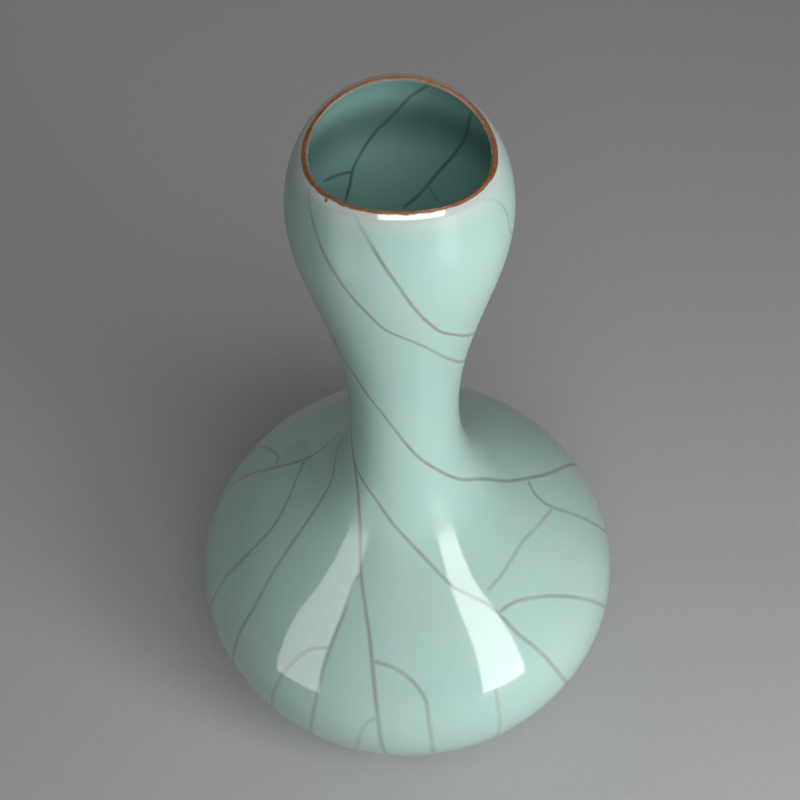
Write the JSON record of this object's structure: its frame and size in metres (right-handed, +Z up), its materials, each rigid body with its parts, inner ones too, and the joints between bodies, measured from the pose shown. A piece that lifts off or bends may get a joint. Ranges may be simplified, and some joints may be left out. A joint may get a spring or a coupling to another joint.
{
  "type": "double gourd vase",
  "caption": "Tall celadon vase with a squat lower bulb, narrow waist, slender upper bulb and scooped brown-edged mouth; holds stems in water.",
  "frame": {"origin": "on the floor, under the middle of the foot ring", "axes": "+Z up along the axis the vase was thrown on; the low side of the mouth faces -Y"},
  "size_m": [0.126, 0.126, 0.2303],
  "materials": {
    "stoneware": "fired grey-brown stoneware",
    "slip": "fired slip",
    "iron_foot": "bare iron-dark stoneware",
    "celadon_skin": "thick glossy blue-green glaze with an open crackle",
    "celadon_lining": "glossy blue-green glaze",
    "iron_lip": "thin glossy iron-brown glaze"
  },
  "bodies": {
    "root": {"lower_bowl": "stoneware", "shoulder_dome": "stoneware", "upper_bulb": "stoneware", "belly_seam_slip": "slip", "waist_seam_slip": "slip", "foot_seam_slip": "slip", "foot_ring": "iron_foot", "outer_glaze": "celadon_skin", "inner_glaze": "celadon_lining", "base_glaze": "celadon_lining", "lip_band": "iron_lip"}
  },
  "joints": []
}
